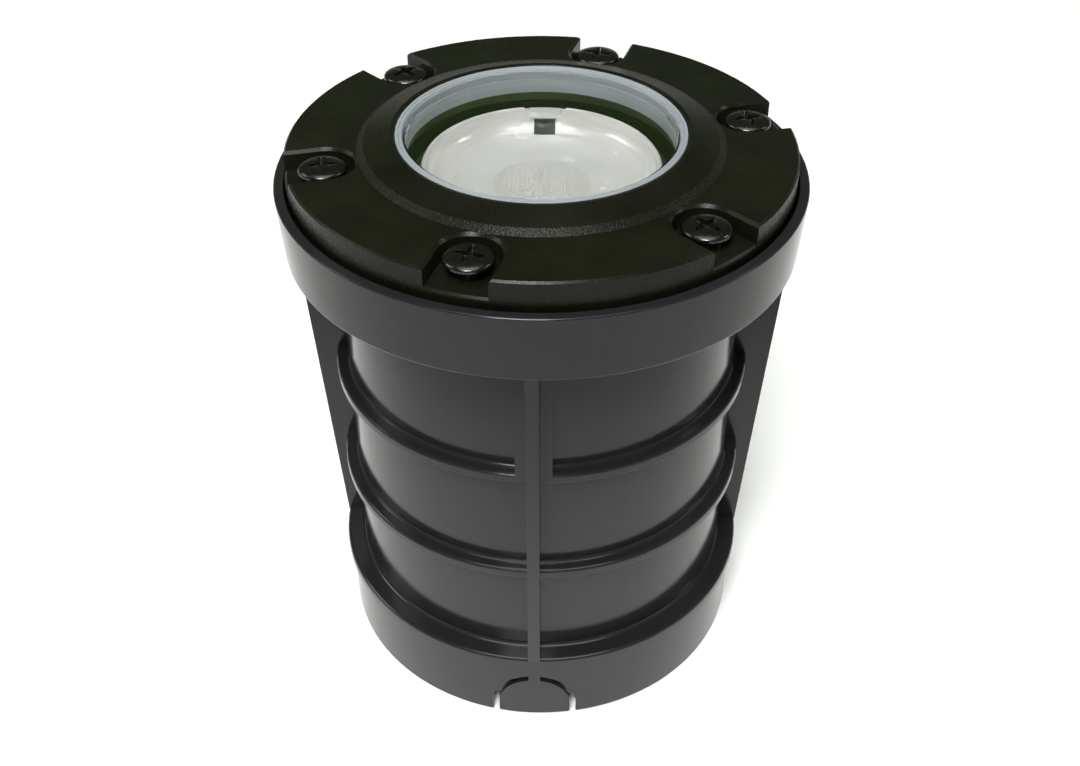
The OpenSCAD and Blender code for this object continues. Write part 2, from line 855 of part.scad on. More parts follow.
module retainer_screws() {
    color("#9a9a9c")
        polar(retainer_screw_count, retainer_circle_r, retainer_angle)
            translate([0, 0, gasket_z - retainer_t])
                mirror([0, 0, 1])
                    pan_screw(retainer_screw_r, retainer_screw_len, retainer_head_r,
                        retainer_head_t);
}

// Upright ear of the swivel ring, on the +X side
module ear() {
    translate([ear_in, -ear_r, swivel_z + swivel_t / 2])
        cube([ear_t, 2 * ear_r, pivot_z - swivel_z - swivel_t / 2]);
    translate([ear_in, 0, pivot_z])
        rotate([0, right_angle, 0])
            cylinder(r = ear_r, h = ear_t);
}

// Bore or pin along X through the tilt axis, on the +X side
module pivot_bar(r, x0, x1) {
    translate([x0, 0, pivot_z])
        rotate([0, right_angle, 0])
            cylinder(r = r, h = x1 - x0);
}

module swivel_ring() {
    clip_z = bracket_z - clip_gap - clip_t;
    groove_r = swivel_spigot_r - clip_groove;
    color("#2a2b2d")
        difference() {
            union() {
                tube(swivel_flange_r, swivel_in_r, swivel_z, swivel_z + swivel_t);
                tube(groove_r, swivel_in_r, clip_z - spigot_tail, swivel_z + swivel_t / 2);
                tube(swivel_spigot_r, swivel_in_r, clip_z + clip_t + fit_gap,
                    swivel_z + swivel_t / 2);
                tube(swivel_spigot_r, swivel_in_r, clip_z - spigot_tail, clip_z - fit_gap);
                polar(2, 0)
                    ear();
            }
            polar(2, 0)
                pivot_bar(pivot_r + fit_gap, ear_in - over, ear_out + over);
        }
}

module swivel_clip() {
    clip_z = bracket_z - clip_gap - clip_t;
    groove_r = swivel_spigot_r - clip_groove + fit_gap;
    color("#8d8f92")
        difference() {
            tube(groove_r + clip_w, groove_r, clip_z, clip_z + clip_t);
            translate([0, -clip_open / 2, clip_z - over])
                cube([groove_r + clip_w + over, clip_open, clip_t + 2 * over]);
        }
}

module lamp_cradle() {
    color("#2c2d2f")
        difference() {
            union() {
                tube(cradle_r, cradle_in_r, cradle_z, cradle_z + cradle_h);
                tube(cradle_in_r + cradle_t / 2, cradle_in_r - cradle_lip, cradle_z,
                    cradle_z + cradle_floor_t);
                polar(2, 0)
                    pivot_bar(cradle_boss_r, cradle_in_r + cradle_t / 2, cradle_face);
            }
            polar(2, 0)
                pivot_bar(pivot_r + fit_gap, cradle_in_r - over, cradle_face + over);
        }
}

module pivot_screws() {
    head_x = ear_out + body_gap;
    color("#9a9a9c")
        polar(2, 0)
            difference() {
                union() {
                    pivot_bar(pivot_r, cradle_in_r + fit_gap, head_x + pin_head_t / 2);
                    pivot_bar(pin_head_r, head_x, head_x + pin_head_t);
                }
                translate([head_x + pin_head_t - pin_slot_depth, -pin_slot_w / 2,
                    pivot_z - pin_head_r - over])
                    cube([pin_slot_depth + over, pin_slot_w, 2 * (pin_head_r + over)]);
            }
}

module lamp_heatsink() {
    fins_z = base_z + base_h;
    cone_top = cradle_z - sink_cone_gap;
    color("#b9bcbe")
        difference() {
            rotate_extrude()
                polygon([[0, fins_z], [sink_low_r, fins_z], [sink_step_r, cone_top],
                    [sink_step_r, sink_step_z], [lamp_r, sink_step_z], [lamp_r, sink_top],
                    [sink_bore_r, sink_top], [sink_bore_r, board_z],
                    [0, board_z]]);
            polar(sink_fins, base_r * sink_core_share)
                translate([0, -sink_slot_w / 2, fins_z - over])
                    cube([lamp_r, sink_slot_w, cone_top - fins_z + over - sink_cone_gap]);
        }
}

module led_board() {
    color("#e9e9e4")
        tube(board_r, board_hole_r, board_z, board_z + board_t);
}

module led_chip() {
    color("#e8c84a")
        translate([0, 0, board_z + board_t])
            cylinder(r = chip_r, h = chip_t);
}

// Points down the bowl from radius r at height z to the window, sunk by drop
function bowl_points(r, z, drop) =
    [for (i = [0:bowl_steps])
        let (a = right_angle * i / bowl_steps)
        [window_r + (r - window_r) * pow(cos(a), bowl_curve_share), z - drop * sin(a)]];

module lamp_reflector() {
    wall_r = sink_bore_r - 2 * fit_gap;
    inner = bowl_points(lamp_r - bowl_lip, lamp_top, bowl_depth);
    outer = bowl_points(wall_r, sink_top, bowl_depth + bowl_t - rim_t);
    foot_z = board_z + board_t;
    seat = lamp_top - bowl_depth - bowl_t;
    color("#e6e8e6")
        difference() {
            rotate_extrude()
                polygon(concat([for (p = inner) if (p[0] > window_r + bowl_t) p],
                    [[window_r + 2 * fit_gap, lamp_top - bowl_depth],
                    [window_r + 2 * fit_gap, seat], [window_r - bowl_t / 2, seat],
                    [window_r - bowl_t / 2, foot_z], [window_r + bowl_t, foot_z],
                    [window_r + bowl_t, seat]],
                    [for (i = [bowl_steps:-1:1]) if (outer[i][0] > window_r + 2 * bowl_t)
                        outer[i]],
                    [[wall_r, sink_top], [lamp_r, sink_top],
                    [lamp_r, lamp_top - rim_t / 4], [lamp_r - rim_t / 4, lamp_top]]));
            translate([-clip_tab_w / 2 - fit_gap, lamp_r - clip_tab_in - over, sink_top])
                cube([clip_tab_w + 2 * fit_gap, clip_tab_in + 2 * over, rim_t + over]);
            translate([-tab_window_w / 2, lamp_r - clip_tab_in - over,
                sink_top - body_gap - tab_window_h])
                cube([tab_window_w, clip_tab_in + over - fit_gap, tab_window_h]);
        }
}

module lamp_window() {
    color("#f2f3f0")
        translate([0, 0, lamp_top - bowl_depth - bowl_t])
            rotate_extrude()
                polygon(share_points(window_r, bowl_t, window_shares));
}

module lamp_clip() {
    color("#f2f2f0")
        translate([0, 0, sink_top])
            intersection() {
                translate([-clip_tab_w / 2, lamp_r - clip_tab_in, 0])
                    cube([clip_tab_w, clip_tab_in, rim_t]);
                cylinder(r = lamp_r - fit_gap, h = rim_t);
            }
}

module lamp_base() {
    color("#e4e1d8")
        translate([0, 0, base_z])
            difference() {
                cylinder(r = base_r, h = base_h);
                for (s = [-1, 1])
                    translate([s * pin_pitch / 2, 0, -over])
                        cylinder(r = pin_r + fit_gap, h = base_h / 2 + over);
            }
}

module lamp_pins() {
    color("#c8cacb")
        for (s = [-1, 1])
            translate([s * pin_pitch / 2, 0, base_z - pin_len])
                cylinder(r = pin_r, h = pin_len + base_h / 2);
}

module lamp_socket() {
    color("#ece8dc")
        difference() {
            translate([-socket_w / 2, -socket_d / 2, socket_z])
                cube([socket_w, socket_d, socket_h]);
            for (s = [-1, 1])
                translate([s * pin_pitch / 2, 0, socket_z + socket_floor_t])
                    cylinder(r = contact_r, h = socket_h);
        }
}

module socket_contacts() {
    color("#b8903c")
        for (s = [-1, 1])
            translate([s * pin_pitch / 2, 0, 0])
                tube(contact_r - fit_gap, pin_r + fit_gap, socket_z + socket_floor_t,
                    base_z - 2 * socket_gap);
}

housing();
screw_inserts();
bracket_ring();
bracket_screws();
gland_body();
gland_washer();
gland_locknut();
gland_seal();
gland_nut();
terminal_block();
terminal_screws();
cover();
cover_screws();
cover_seal();
lens();
lens_gasket();
lens_retainer();
retainer_screws();
swivel_ring();
swivel_clip();
lamp_cradle();
pivot_screws();
lamp_heatsink();
led_board();
led_chip();
lamp_reflector();
lamp_window();
lamp_clip();
lamp_base();
lamp_pins();
lamp_socket();
socket_contacts();
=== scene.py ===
"""In-ground well light: finishes, studio, camera and the fine forms that the solids leave out.

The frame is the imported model's: metres, Z up, origin at the middle of the foot rim, cable
knock-out towards -Y. The fine forms are written in millimetres, and add_piece scales them.
"""

from math import cos, hypot, pi, radians, sin, sqrt

import bmesh
import bpy
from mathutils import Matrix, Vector
from mathutils.geometry import delaunay_2d_cdt


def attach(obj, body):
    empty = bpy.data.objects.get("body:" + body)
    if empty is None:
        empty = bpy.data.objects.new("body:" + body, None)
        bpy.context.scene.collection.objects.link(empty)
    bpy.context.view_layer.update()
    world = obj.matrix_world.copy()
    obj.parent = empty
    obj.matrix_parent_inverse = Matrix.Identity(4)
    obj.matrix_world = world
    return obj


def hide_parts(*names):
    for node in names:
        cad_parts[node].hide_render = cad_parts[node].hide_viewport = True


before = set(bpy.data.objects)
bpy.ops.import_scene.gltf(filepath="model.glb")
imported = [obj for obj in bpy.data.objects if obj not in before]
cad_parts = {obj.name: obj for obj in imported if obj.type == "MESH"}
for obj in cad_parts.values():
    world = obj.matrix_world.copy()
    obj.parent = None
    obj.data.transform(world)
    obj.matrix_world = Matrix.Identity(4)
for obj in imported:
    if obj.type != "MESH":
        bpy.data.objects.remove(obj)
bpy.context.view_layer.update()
MM = 0.001

# ---------------------------------------------------------------- camera
PHOTO_WIDTH_PX = 1080
PHOTO_HEIGHT_PX = 766
FOCAL_PX = 1337.6
OPTICAL_AXIS_PX = 280  # below the top edge of the photograph
SENSOR_MM = 36.0
VIEW_ANGLE = radians(271.96)
VIEW_ELEVATION = radians(33.99)
VIEW_DISTANCE = 293.5 * MM
TARGET_HEIGHT = 87.63 * MM
AXIS_RIGHT = 0.305 * MM  # how far right of the picture's middle the axis of the barrel lies
CLIP_START = 1 * MM
CLIP_END = 50


def add_camera():
    """The photograph's camera, looking at a point on the axis of the barrel.

    The picture is cropped below its optical axis, so the lens is shifted down.
    """
    away = Vector((
        cos(VIEW_ANGLE) * cos(VIEW_ELEVATION),
        sin(VIEW_ANGLE) * cos(VIEW_ELEVATION),
        sin(VIEW_ELEVATION),
    ))
    right = Vector((-sin(VIEW_ANGLE), cos(VIEW_ANGLE), 0))
    data = bpy.data.cameras.new("camera")
    data.sensor_width = SENSOR_MM
    data.lens = FOCAL_PX / PHOTO_WIDTH_PX * SENSOR_MM
    data.shift_y = (OPTICAL_AXIS_PX - PHOTO_HEIGHT_PX / 2) / PHOTO_WIDTH_PX
    data.clip_start = CLIP_START
    data.clip_end = CLIP_END
    camera = bpy.data.objects.new("camera", data)
    bpy.context.collection.objects.link(camera)
    camera.location = Vector((0, 0, TARGET_HEIGHT)) + away * VIEW_DISTANCE - right * AXIS_RIGHT
    camera.rotation_euler = (-away).to_track_quat("-Z", "Y").to_euler()
    bpy.context.scene.camera = camera


# ---------------------------------------------------------------- studio
FLOOR_SIZE = 8.0
LIGHT_TARGET = 65 * MM

# The surroundings, by the sine of the elevation: pale walls up to WALL_TOP, a deep green
# at SKY_START, and a lighter, more neutral green from SKY_FULL up.
WALL_COLOR = (0.52, 0.52, 0.51, 1)
WALL_TOP = sin(radians(10))
LOW_SKY_COLOR = (0.035, 0.085, 0.006, 1)
SKY_START = sin(radians(13))
SKY_COLOR = (0.092, 0.112, 0.06, 1)
SKY_FULL = sin(radians(42))

# Name, azimuth and elevation in degrees, distance and size in metres, power in watts.
SOFTBOXES = (
    ("front_key", 262, 57, 1.1, 0.34, 12),
    ("overhead", 272, 84, 3.0, 2.0, 45),
    ("left_key", 172, 38, 2.2, 0.8, 10),
    ("right_rim", 8, 37, 2.2, 0.4, 5),
)


def add_softbox(name, azimuth, elevation, distance, size, power):
    """A square area light that faces the object from one direction."""
    data = bpy.data.lights.new(name, "AREA")
    data.shape = "SQUARE"
    data.size = size
    data.energy = power
    light = bpy.data.objects.new(name, data)
    bpy.context.collection.objects.link(light)
    a, e = radians(azimuth), radians(elevation)
    light.location = Vector((cos(a) * cos(e), sin(a) * cos(e), sin(e))) * distance
    to_target = Vector((0, 0, LIGHT_TARGET)) - light.location
    light.rotation_euler = to_target.to_track_quat("-Z", "Y").to_euler()


def add_surroundings():
    """Pale walls round the floor, with a dim green sky above them."""
    world = bpy.data.worlds.new("studio_sky")
    world.use_nodes = True
    nodes, links = world.node_tree.nodes, world.node_tree.links
    direction = nodes.new("ShaderNodeTexCoord")
    split = nodes.new("ShaderNodeSeparateXYZ")
    links.new(direction.outputs["Generated"], split.inputs["Vector"])
    ramp = nodes.new("ShaderNodeValToRGB")
    ramp.color_ramp.elements.new(SKY_START)
    stops = ((WALL_TOP, WALL_COLOR), (SKY_START, LOW_SKY_COLOR), (SKY_FULL, SKY_COLOR))
    for element, (position, color) in zip(ramp.color_ramp.elements, stops):
        element.position = position
        element.color = color
    links.new(split.outputs["Z"], ramp.inputs["Fac"])
    links.new(ramp.outputs["Color"], nodes["Background"].inputs["Color"])
    bpy.context.scene.world = world


def add_floor():
    """A plain white floor."""
    mesh = bpy.data.meshes.new("floor")
    half = FLOOR_SIZE / 2
    mesh.from_pydata([(-half, -half, 0), (half, -half, 0), (half, half, 0), (-half, half, 0)],
                     [], [(0, 1, 2, 3)])
    floor = bpy.data.objects.new("floor", mesh)
    bpy.context.collection.objects.link(floor)
    floor.data.materials.append(finish("floor_white", (0.96, 0.96, 0.96), rough=0.7,
                                       grain=30 * MM, bump=0, tint=0.01))


def add_studio():
    """Surroundings, soft lights and floor."""
    add_surroundings()
    for softbox in SOFTBOXES:
        add_softbox(*softbox)
    add_floor()
    bpy.context.scene.view_settings.view_transform = "Standard"


# ---------------------------------------------------------------- finishes
NOISE_LOW, NOISE_HIGH = 0.3, 0.7  # the noise values that give the two ends of a variation
DRIFT_DETAIL = 3
GRAIN_DETAIL = 2
PAINTED_SHADE_SPAN = 0.15 * MM  # half the height over which the painted shade of a fade sets in
REST_GRAIN = 0.05  # share of the grain that is left outside a band
COAT_ROUGH = 0.14


def times_band(nodes, links, place, height, band):
    """A height that is full inside a ring round the axis and a small share of it elsewhere."""
    flat = nodes.new("ShaderNodeVectorMath")
    flat.operation = "MULTIPLY"
    flat.inputs[1].default_value = (1, 1, 0)
    links.new(place, flat.inputs[0])
    radius = nodes.new("ShaderNodeVectorMath")
    radius.operation = "LENGTH"
    links.new(flat.outputs["Vector"], radius.inputs[0])
    inside = nodes.new("ShaderNodeMath")
    inside.operation = "COMPARE"
    links.new(radius.outputs["Value"], inside.inputs[0])
    inside.inputs[1].default_value, inside.inputs[2].default_value = band
    share = nodes.new("ShaderNodeMapRange")
    share.inputs["To Min"].default_value = REST_GRAIN
    links.new(inside.outputs["Value"], share.inputs["Value"])
    product = nodes.new("ShaderNodeMath")
    product.operation = "MULTIPLY"
    links.new(height, product.inputs[0])
    links.new(share.outputs["Result"], product.inputs[1])
    return product.outputs["Value"]


def finish(name, color, rough, grain, bump, tint=0.15, rough_span=0.08, patch=12 * MM,
           metallic=0.0, specular=0.5, coat=0.0, transmission=0.0, band=None,
           painted_foot_reflection=None, fade=None, sheen=(1, 1, 1)):
    """A Principled material: mottled colour, uneven gloss and a fine surface grain.

    grain is the size of the surface texture and bump its height, in metres. tint is how
    far the colour drifts over patches of the size patch. band is the middle and the half
    width of the one ring round the axis that has the full grain.
    painted_foot_reflection is a painted reflection: the specular level at the foot, raised to
    make the foot lighter, and the height where specular is reached.
    fade is a painted shade: the share of the colour that is left above a height, and that height.
    sheen is the colour of the reflection.
    """
    material = bpy.data.materials.new(name)
    material.use_nodes = True
    nodes, links = material.node_tree.nodes, material.node_tree.links
    shader = nodes["Principled BSDF"]
    place = nodes.new("ShaderNodeTexCoord")

    def noise(size, detail):
        node = nodes.new("ShaderNodeTexNoise")
        node.inputs["Scale"].default_value = 1 / size
        node.inputs["Detail"].default_value = detail
        links.new(place.outputs["Object"], node.inputs["Vector"])
        return node

    drift = noise(patch, DRIFT_DETAIL)
    ramp = nodes.new("ShaderNodeValToRGB")
    low, high = ramp.color_ramp.elements
    low.position, high.position = NOISE_LOW, NOISE_HIGH
    low.color = [c * (1 - tint) for c in color] + [1]
    high.color = [min(1, c * (1 + tint)) for c in color] + [1]
    links.new(drift.outputs["Fac"], ramp.inputs["Fac"])
    links.new(ramp.outputs["Color"], shader.inputs["Base Color"])
    split = nodes.new("ShaderNodeSeparateXYZ")
    links.new(place.outputs["Object"], split.inputs["Vector"])
    # Painted shade: the colour is darkened above a height.
    if fade:
        share, height = fade
        left = nodes.new("ShaderNodeMapRange")
        left.inputs["From Min"].default_value = height - PAINTED_SHADE_SPAN
        left.inputs["From Max"].default_value = height + PAINTED_SHADE_SPAN
        left.inputs["To Min"].default_value = 1
        left.inputs["To Max"].default_value = share
        links.new(split.outputs["Z"], left.inputs["Value"])
        dim = nodes.new("ShaderNodeVectorMath")
        dim.operation = "SCALE"
        links.new(ramp.outputs["Color"], dim.inputs[0])
        links.new(left.outputs["Result"], dim.inputs["Scale"])
        links.new(dim.outputs["Vector"], shader.inputs["Base Color"])

    fine = noise(grain, GRAIN_DETAIL)
    gloss = nodes.new("ShaderNodeMapRange")
    gloss.inputs["From Min"].default_value = NOISE_LOW
    gloss.inputs["From Max"].default_value = NOISE_HIGH
    gloss.inputs["To Min"].default_value = max(0, rough - rough_span)
    gloss.inputs["To Max"].default_value = min(1, rough + rough_span)
    links.new(fine.outputs["Fac"], gloss.inputs["Value"])
    links.new(gloss.outputs["Result"], shader.inputs["Roughness"])

    if bump:
        relief = nodes.new("ShaderNodeBump")
        relief.inputs["Distance"].default_value = bump
        rise = fine.outputs["Fac"]
        if band:
            rise = times_band(nodes, links, place.outputs["Object"], rise, band)
        links.new(rise, relief.inputs["Height"])
        links.new(relief.outputs["Normal"], shader.inputs["Normal"])

    shader.inputs["Metallic"].default_value = metallic
    shader.inputs["Specular IOR Level"].default_value = specular
    # Painted reflection: the specular level rises towards the foot, so the foot looks lighter.
    if painted_foot_reflection:
        foot_level, full_height = painted_foot_reflection
        level = nodes.new("ShaderNodeMapRange")
        level.inputs["From Max"].default_value = full_height
        level.inputs["To Min"].default_value = foot_level
        level.inputs["To Max"].default_value = specular
        links.new(split.outputs["Z"], level.inputs["Value"])
        links.new(level.outputs["Result"], shader.inputs["Specular IOR Level"])
    shader.inputs["Coat Weight"].default_value = coat
    shader.inputs["Coat Roughness"].default_value = COAT_ROUGH
    shader.inputs["Specular Tint"].default_value = (*sheen, 1)
    shader.inputs["Transmission Weight"].default_value = transmission
    return material


def make_finishes():
    """Every finish of the light, by name."""
    return {
        # Its specular level rises towards the foot: a painted reflection that lightens the foot.
        "moulding": finish("moulded_black_plastic", (0.0140, 0.0130, 0.0139), rough=0.16,
                           grain=2.5 * MM, bump=0.001 * MM, tint=0.07, rough_span=0.015,
                           specular=0.195, painted_foot_reflection=(0.49, 95 * MM),
                           sheen=(1, 0.95, 0.99)),
        "powder": finish("black_powder_coat", (0.0064, 0.0068, 0.0040), rough=0.30,
                         grain=0.42 * MM, bump=0.16 * MM, tint=0.25, specular=0.12,
                         band=(37.1 * MM, 0.8 * MM)),
        "screw": finish("blackened_screw", (0.003, 0.0032, 0.0024), rough=0.24,
                        grain=0.6 * MM, bump=0.006 * MM),
        # The gasket's lip above 124.35 mm is darkened by painted shade.
        "silicone": finish("white_silicone", (0.385, 0.42, 0.45), rough=0.5,
                           grain=0.8 * MM, bump=0.01 * MM, tint=0.05, specular=0.2,
                           fade=(0.6, 124.35 * MM)),
        "glass": finish("clear_glass", (0.99, 0.99, 0.99), rough=0.012, grain=6 * MM,
                        bump=0, tint=0.01, rough_span=0.012, transmission=1.0),
        # Dark plastic; its green tint is painted light, the green cast of the surroundings.
        "inner": finish("dark_plastic_green_cast", (0.031, 0.046, 0.018), rough=0.5,
                        grain=0.4 * MM, bump=0.02 * MM),
        "rubber": finish("black_rubber", (0.016, 0.016, 0.016), rough=0.7,
                         grain=0.5 * MM, bump=0.02 * MM),
        "brass": finish("turned_brass", (0.72, 0.50, 0.20), rough=0.32,
                        grain=0.3 * MM, bump=0.008 * MM, metallic=1.0),
        "zinc": finish("zinc_plated_steel", (0.60, 0.61, 0.62), rough=0.34,
                       grain=0.5 * MM, bump=0.008 * MM, metallic=1.0),
        "aluminium": finish("die_cast_aluminium", (0.60, 0.61, 0.62), rough=0.42,
                            grain=0.4 * MM, bump=0.02 * MM, metallic=1.0),
        "board": finish("white_circuit_board", (0.78, 0.79, 0.76), rough=0.35,
                        grain=0.8 * MM, bump=0.005 * MM, tint=0.04),
        "phosphor": finish("yellow_phosphor", (0.82, 0.62, 0.12), rough=0.6,
                           grain=0.2 * MM, bump=0.01 * MM, tint=0.06),
        "pearl": finish("pearl_reflector", (0.97, 0.96, 0.945), rough=0.2,
                        grain=9 * MM, bump=0.05 * MM, tint=0.03, patch=9 * MM, coat=0.3,
                        metallic=0.13),
        "optic": finish("pebbled_optic", (0.97, 0.96, 0.945), rough=0.14,
                        grain=0.8 * MM, bump=0.004 * MM, tint=0.03, coat=0.4, metallic=0.2),
        # A dark sheet of painted shade, for the opening under the clip tab.
        "steel": finish("painted_shade_dark", (0.045, 0.057, 0.05), rough=0.5,
                        grain=0.6 * MM, bump=0.004 * MM, metallic=0.3),
        "ceramic": finish("white_ceramic", (0.76, 0.73, 0.66), rough=0.6,
                          grain=0.6 * MM, bump=0.02 * MM, tint=0.05),
        "nylon": finish("white_nylon", (0.74, 0.71, 0.62), rough=0.45,
                        grain=0.8 * MM, bump=0.01 * MM, tint=0.05),
    }


NODE_FINISH = {
    "housing": "moulding", "screw_inserts": "brass", "bracket_ring": "inner",
    "bracket_screws": "zinc", "gland_body": "inner", "gland_washer": "rubber",
    "gland_locknut": "inner", "gland_seal": "rubber", "gland_nut": "inner",
    "terminal_block": "nylon", "terminal_screws": "zinc", "cover": "powder",
    "cover_screws": "screw", "cover_seal": "rubber", "lens": "glass",
    "lens_gasket": "silicone", "lens_retainer": "inner", "retainer_screws": "zinc",
    "swivel_ring": "inner", "swivel_clip": "zinc", "lamp_cradle": "inner",
    "pivot_screws": "zinc", "lamp_heatsink": "aluminium", "led_board": "board",
    "led_chip": "phosphor", "lamp_reflector": "pearl", "lamp_window": "optic",
    "lamp_clip": "pearl", "lamp_base": "ceramic", "lamp_pins": "zinc",
    "lamp_socket": "ceramic", "socket_contacts": "brass",
}


def dress_nodes(finishes):
    """Puts each solid's finish in its material slots."""
    for node, name in NODE_FINISH.items():
        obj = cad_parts[node]
        for slot in obj.material_slots:
            slot.material = finishes[name]


# ---------------------------------------------------------------- fine forms
SMOOTH_ANGLE = radians(32)
MERGE_DISTANCE = 0.001 * MM


def add_piece(name, verts, faces, material, body, node):
    """A mesh piece, in millimetres, that is shown instead of a solid, where one is named."""
    mesh = bpy.data.meshes.new(name)
    mesh.from_pydata([Vector(v) * MM for v in verts], [], faces)
    shape = bmesh.new()
    shape.from_mesh(mesh)
    bmesh.ops.remove_doubles(shape, verts=shape.verts, dist=MERGE_DISTANCE)
    bmesh.ops.recalc_face_normals(shape, faces=shape.faces)
    shape.to_mesh(mesh)
    shape.free()
    mesh.shade_smooth()
    mesh.set_sharp_from_angle(angle=SMOOTH_ANGLE)
    mesh.materials.append(material)
    piece = bpy.data.objects.new(name, mesh)
    bpy.context.collection.objects.link(piece)
    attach(piece, body)
    if node:
        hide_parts(node)


def circle(radius, steps):
    """Points (x, y) evenly round the axis."""
    return [(radius * cos(2 * pi * i / steps), radius * sin(2 * pi * i / steps))
            for i in range(steps)]


def revolve(profile, steps, closed=False, lift=None):
    """Vertices and faces of (radius, height) points turned round the axis.

    closed joins the last point to the first. lift, where it is given, raises each point
    by a function of its place.
    """
    verts, rings = [], []
    for r, z in profile:
        turns = steps if r else 1
        rings.append([len(verts) + i % turns for i in range(steps)])
        verts += [(x, y, z + (lift(x, y) if lift else 0))
                  for x, y in circle(r, steps)[:turns]]
    faces = []
    pairs = list(zip(rings, rings[1:]))
    if closed:
        pairs.append((rings[-1], rings[0]))
    for low, high in pairs:
        for i in range(steps):
            j = (i + 1) % steps
            corners = [low[i], low[j], high[j], high[i]]
            faces.append(list(dict.fromkeys(corners)))
    return verts, faces


# ---------------------------------------------------------------- screws
SCREW_STEPS = 48
JOIN_DISTANCE = 1e-6

# In shares of the head's radius: the arms of the recess and its lip, the rings of points
# on the dome outside the recess and between its arms, and the flat under the head.
ARM_SHARE = 0.64
HALF_WIDTH_SHARE = 0.135
WAIST_SHARE = 0.1
LIP_SHARE = 0.016
RING_SHARES = (1.0, 0.975, 0.93, 0.87, 0.79, 0.7)
INNER_SHARES = (0.58, 0.46, 0.34)
SEAT_SHARE = 0.96

# The head, in shares of its thickness: its upright side and the bevel below it, how deep
# the lip and the lower edge of the recess lie, and the height of its deepest point.
SIDE_SHARE = 0.3
BEVEL_SHARE = 0.1
LIP_SINK_SHARE = 0.03
LOWER_SINK_SHARE = 0.62
DEEPEST_SHARE = 0.22
DOME_POWER = 2.4

# The rounded end of an arm, in shares of its half width, and the fillet at the waist.
ROUND_SHARE = 0.6
ROUND_MID_SHARE = 0.15
FILLET_SHARE = 0.3

# Length and width of other outlines, in shares of the recess's arms: the one that keeps
# the inner rings clear, and the lower edge of the recess.
GUARD_SHARES = (1.12, 1.6)
LOWER_SHARES = (0.8, 0.62)

POINT_SHARE = 0.3  # of the shank's radius


def cross_outline(reach, half_width, waist):
    """Outline of a cross recess: four arms with rounded ends, filleted at the waist."""
    back, middle = half_width * ROUND_SHARE, half_width * ROUND_MID_SHARE
    fillet = half_width + waist * FILLET_SHARE
    quarter = [(reach - back, -half_width), (reach - middle, -back), (reach, 0),
               (reach - middle, back), (reach - back, half_width),
               (half_width + waist, half_width), (fillet, fillet)]
    points = []
    for k in range(4):
        c, s = round(cos(k * pi / 2)), round(sin(k * pi / 2))
        points += [(c * x - s * y, s * x + c * y) for x, y in quarter]
    return points


def in_outline(point, outline):
    """Whether a point lies inside a closed outline."""
    x, y = point
    inside = False
    for (x0, y0), (x1, y1) in zip(outline, outline[1:] + outline[:1]):
        if (y0 > y) != (y1 > y) and x < x0 + (y - y0) / (y1 - y0) * (x1 - x0):
            inside = not inside
    return inside


def screw_shape(head_r, head_t, shank_r, length, neck_r, neck_h):
    """A pan head screw with a bevelled cross recess, its seat at height zero."""
    side = SIDE_SHARE * head_t
    arm, half_width, waist = ARM_SHARE * head_r, HALF_WIDTH_SHARE * head_r, WAIST_SHARE * head_r

    def dome(x, y):
        share = min(1, hypot(x, y) / head_r)
        return side + (head_t - side) * sqrt(1 - share ** DOME_POWER)

    # The dome: a triangulated disc with the mouth of the recess left open.
    mouth = cross_outline(arm, half_width, waist)
    count = len(mouth)
    points = list(mouth)
    for share in RING_SHARES:
        points += circle(share * head_r, SCREW_STEPS)
    guard = cross_outline(arm * GUARD_SHARES[0], half_width * GUARD_SHARES[1], waist)
    for share in INNER_SHARES:
        points += [p for p in circle(share * head_r, SCREW_STEPS) if not in_outline(p, guard)]
    edges = [(i, (i + 1) % count) for i in range(count)]
    flat, _, triangles, origins, _, _ = delaunay_2d_cdt(
        [Vector(p) for p in points], edges, [], 0, JOIN_DISTANCE)
    verts = [(p.x, p.y, dome(p.x, p.y)) for p in flat]
    faces = []
    for triangle in triangles:
        middle = sum((flat[i] for i in triangle), Vector((0, 0))) / len(triangle)
        if not in_outline(middle, mouth):
            faces.append(list(triangle))

    # The recess: a narrow lip, sloping walls, and a floor that falls to the middle.
    place = {source: i for i, sources in enumerate(origins) for source in sources}
    loop = [place[i] for i in range(count)]
    lip = LIP_SHARE * head_r
    for reach, width, sink in (
            (arm - lip, half_width - lip, LIP_SINK_SHARE),
            (arm * LOWER_SHARES[0], half_width * LOWER_SHARES[1], LOWER_SINK_SHARE)):
        start = len(verts)
        verts += [(x, y, dome(x, y) - sink * head_t)
                  for x, y in cross_outline(reach, width, waist)]
        ring = list(range(start, start + count))
        faces += [[loop[i], loop[(i + 1) % count], ring[(i + 1) % count], ring[i]]
                  for i in range(count)]
        loop = ring
    verts.append((0, 0, DEEPEST_SHARE * head_t))
    faces += [[loop[i], loop[(i + 1) % count], len(verts) - 1] for i in range(count)]

    # The side of the head, the neck and the shank.
    point = POINT_SHARE * shank_r
    below, walls = revolve([
        (head_r, side), (head_r, BEVEL_SHARE * head_t), (SEAT_SHARE * head_r, 0),
        (neck_r, 0), (neck_r, -neck_h), (shank_r, -neck_h), (shank_r, -length + point),
        (shank_r - point, -length), (0, -length)], SCREW_STEPS)
    faces += [[i + len(verts) for i in face] for face in walls]
    return verts + below, faces


def add_screws(name, node, places, seat, flip, material, body, slot, **sizes):
    """A set of equal screws, one at each place (x, y, turn), their seats at one height.

    flip turns the heads down.
    """
    verts, faces = [], []
    one, walls = screw_shape(**sizes)
    for x0, y0, turn in places:
        c, s = cos(turn), sin(turn)
        faces += [[i + len(verts) for i in face] for face in walls]
        verts += [(x0 + c * x - s * y, y0 + s * x + c * y, seat + (-z if flip else z))
                  for x, y, z in one]
    add_piece(name, verts, faces, material, body, node)


def round_places(count, radius, first):
    """Places (x, y, turn) evenly round the axis, the first at an angle in degrees."""
    turns = [radians(first + 360 * i / count) for i in range(count)]
    return [(radius * cos(a), radius * sin(a), a) for a in turns]


